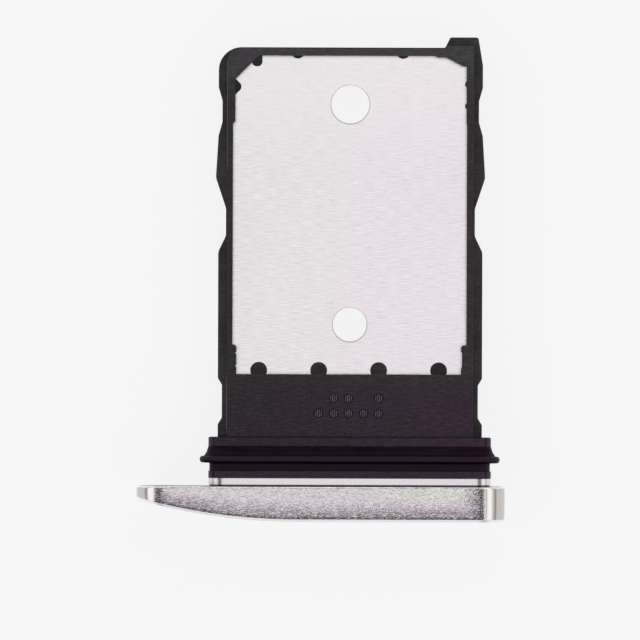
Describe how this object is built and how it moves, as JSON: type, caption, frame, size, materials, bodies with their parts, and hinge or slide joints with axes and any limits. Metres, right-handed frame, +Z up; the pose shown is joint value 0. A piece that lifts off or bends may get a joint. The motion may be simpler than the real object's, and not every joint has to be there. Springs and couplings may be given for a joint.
{
  "type": "sim card tray",
  "caption": "Slide-in tray for a nano SIM card: metal end cap with an eject pinhole, rubber seal, black moulded frame and thin steel card plate.",
  "frame": {"origin": "on the tray's centreline, at the end cap's back face, at mid-height of the neck", "axes": "+Y from the cap into the phone, along the way the tray slides in; +Z up on the side the card lies on; +X to the right with the cap towards the viewer, away from the pinhole"},
  "size_m": [0.0145, 0.019, 0.0022],
  "materials": {
    "anodised_aluminium": "satin",
    "stainless_sheet": "brushed",
    "black_moulding": "matte",
    "seal_rubber": "matte"
  },
  "bodies": {
    "root": {"end_cap": "anodised_aluminium", "seal_ring": "seal_rubber", "card_plate": "stainless_sheet", "tray_frame": "black_moulding"}
  },
  "joints": []
}
